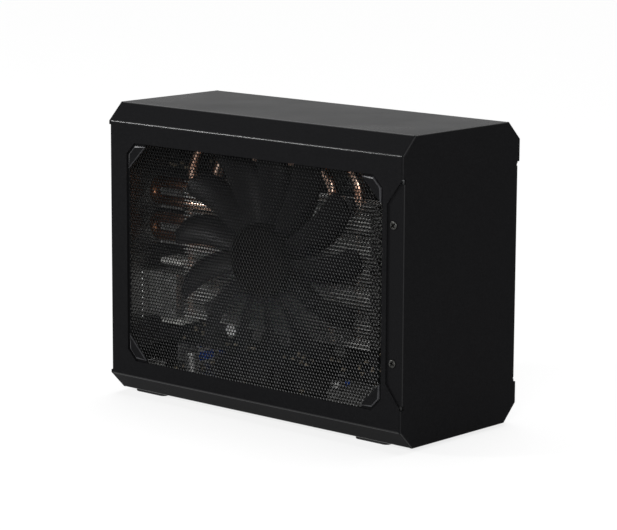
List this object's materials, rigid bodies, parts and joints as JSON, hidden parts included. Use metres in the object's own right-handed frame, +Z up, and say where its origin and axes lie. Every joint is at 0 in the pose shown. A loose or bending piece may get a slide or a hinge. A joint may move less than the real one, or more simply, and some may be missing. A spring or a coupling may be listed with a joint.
{
  "type": "external graphics card enclosure",
  "caption": "Upright black steel enclosure with clipped corners and a perforated mesh window in each side, holding a fan-cooled graphics card, a main board and a power supply.",
  "frame": {"origin": "middle of the footprint, on the surface that the feet stand on", "axes": "+Z up, -Y out of the plain front panel, -X out of the mesh that the card's fan faces"},
  "size_m": [0.096, 0.2139, 0.164],
  "materials": {
    "powder_coat": "matte black powder coat with a fine texture",
    "mesh_coat": "perforated sheet, matte black powder coat",
    "bare_steel": "zinc-plated steel",
    "supply_steel": "galvanised sheet steel",
    "copper": "bare copper",
    "brass": "plain brass",
    "fin_aluminium": "plain sheet aluminium",
    "can_aluminium": "bare aluminium can",
    "fan_plastic": "satin black plastic",
    "black_plastic": "matte black plastic",
    "white_plastic": "plain white plastic",
    "blue_plastic": "blue plastic",
    "board_black": "black solder mask",
    "chip_black": "moulded chip resin",
    "foot_rubber": "matte black rubber"
  },
  "bodies": {
    "enclosure": {"cover": "powder_coat", "left_mesh_panel": "mesh_coat", "right_mesh_panel": "mesh_coat", "front_panel": "powder_coat", "rear_panel": "powder_coat", "chassis_tray": "supply_steel", "front_screws": "bare_steel", "rear_screws": "bare_steel", "foot_front_left": "foot_rubber", "foot_front_right": "foot_rubber", "foot_rear_left": "foot_rubber", "foot_rear_right": "foot_rubber", "main_board": "board_black", "board_standoffs": "brass", "board_screws": "bare_steel", "expansion_slot": "black_plastic", "slot_latch": "blue_plastic", "board_capacitors": "can_aluminium", "board_chokes": "chip_black", "controller_heatsink": "fin_aluminium", "usb_stack_inner": "bare_steel", "usb_stack_outer": "bare_steel", "usb_tongues": "blue_plastic", "link_port": "bare_steel", "graphics_board": "board_black", "processor_package": "chip_black", "memory_chips": "chip_black", "card_capacitors": "can_aluminium", "card_power_socket": "black_plastic", "cold_plate": "copper", "fin_stack": "fin_aluminium", "heat_pipes": "copper", "fan_bracket": "black_plastic", "fan_motor": "copper", "card_bracket": "bare_steel", "bracket_screws": "bare_steel", "wide_video_socket": "bare_steel", "wide_socket_ends": "white_plastic", "slim_video_socket_lower": "bare_steel", "slim_video_socket_upper": "bare_steel", "supply_case": "supply_steel", "supply_core": "chip_black", "supply_inlet": "black_plastic", "inlet_pins": "brass", "small_fan_frame": "black_plastic", "small_fan_guard": "bare_steel", "guard_screws": "bare_steel", "supply_screws": "bare_steel"},
    "large_fan": {"fan_rotor": "fan_plastic"},
    "small_fan": {"small_fan_rotor": "fan_plastic"}
  },
  "joints": [
    {"name": "large_fan_spin", "type": "hinge", "parent": "enclosure", "child": "large_fan", "pos_m": [-0.0355, -0.0015, 0.0875], "axis": [1, 0, 0], "continuous": true},
    {"name": "small_fan_spin", "type": "hinge", "parent": "enclosure", "child": "small_fan", "pos_m": [0.02445, 0.0985, 0.09639], "axis": [0, 1, 0], "continuous": true}
  ]
}
